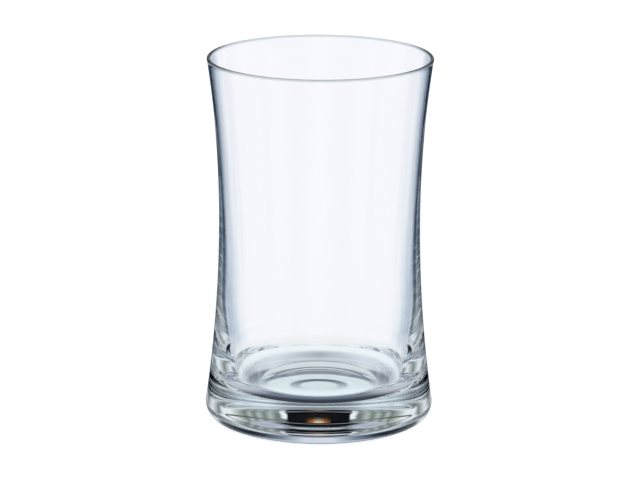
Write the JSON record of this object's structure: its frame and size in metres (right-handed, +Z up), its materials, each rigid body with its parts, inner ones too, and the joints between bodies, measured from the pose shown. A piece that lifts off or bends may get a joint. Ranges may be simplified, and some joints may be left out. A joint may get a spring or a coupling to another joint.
{
  "type": "juice glass",
  "caption": "Waisted juice glass of clear glass with a flared round lip, a thin wall that thickens downwards and a heavy solid base with a shallow hollow under it; holds a cold drink.",
  "frame": {"origin": "on the glass's axis at the plane of the flat ring it stands on", "axes": "+Z up along the glass's axis, from the foot to the lip; X and Y are level and equal, because the glass is round"},
  "size_m": [0.0708, 0.0708, 0.115],
  "materials": {
    "clear_glass": "clear blown glass, fire-polished, faint cool tint in the thick base"
  },
  "bodies": {
    "root": {"tumbler": "clear_glass"}
  },
  "joints": []
}
